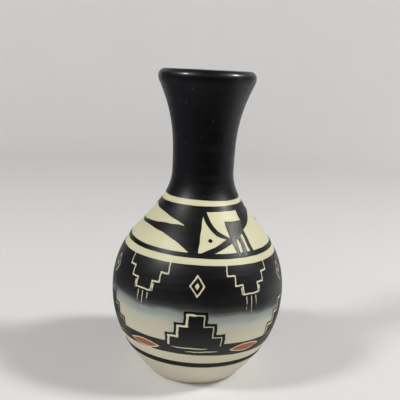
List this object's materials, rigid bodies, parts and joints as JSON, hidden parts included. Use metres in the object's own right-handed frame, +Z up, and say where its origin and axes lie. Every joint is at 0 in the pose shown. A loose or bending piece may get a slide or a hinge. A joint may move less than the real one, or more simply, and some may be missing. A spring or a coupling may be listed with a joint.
{
  "type": "clay vase",
  "caption": "Clay vase with a round belly, a long flared neck and a rolled lip, painted with black slip, cream stripes, a geometric shoulder band and a shaded belly panel.",
  "frame": {"origin": "centre of the foot, on the surface that the pot stands on", "axes": "+Z up along the pot's axis, -Y towards the front of the painted shoulder motif, +X to the viewer's right"},
  "size_m": [0.109, 0.109, 0.1903],
  "materials": {
    "clay": "smooth burnished cream clay, unglazed",
    "black_slip": "satin black slip",
    "grey_slip": "satin grey slip",
    "shaded_slip": "sprayed slip that goes from black through blue-grey to cream",
    "rust_slip": "matt rust-red slip",
    "dark_slip": "brown-black brushed line"
  },
  "bodies": {
    "root": {"clay_body": "clay", "neck_coat": "black_slip", "shoulder_coat": "black_slip", "shoulder_dots": "black_slip", "feather_coat": "grey_slip", "fade_coat": "shaded_slip", "terrace_coat": "black_slip", "rust_coat": "rust_slip", "foot_stripe": "dark_slip"}
  },
  "joints": []
}
